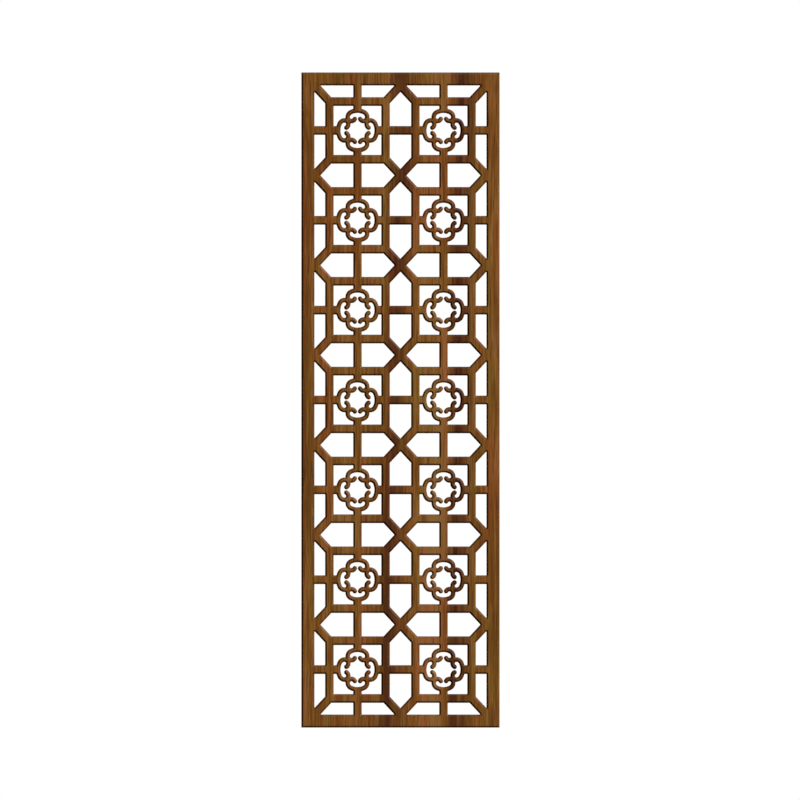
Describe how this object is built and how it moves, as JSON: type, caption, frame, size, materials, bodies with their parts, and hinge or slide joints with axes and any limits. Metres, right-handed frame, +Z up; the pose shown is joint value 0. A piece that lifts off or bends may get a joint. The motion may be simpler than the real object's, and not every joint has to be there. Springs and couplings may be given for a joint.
{
  "type": "lattice screen panel",
  "caption": "Upright metal screen panel in a wood-grain coat, cut through with a rectangular lattice of framed rosettes inside a plain border.",
  "frame": {"origin": "middle of the bottom edge, halfway through the plate, where it stands on its sill", "axes": "+X across the panel to the right as the face is seen, -Y out of the face, +Z up"},
  "size_m": [0.605, 0.01, 2],
  "materials": {
    "wood_grain_coat": "satin wood-grain coat, mid brown, grain running up the panel"
  },
  "bodies": {
    "root": {"lattice_plate": "wood_grain_coat"}
  },
  "joints": []
}
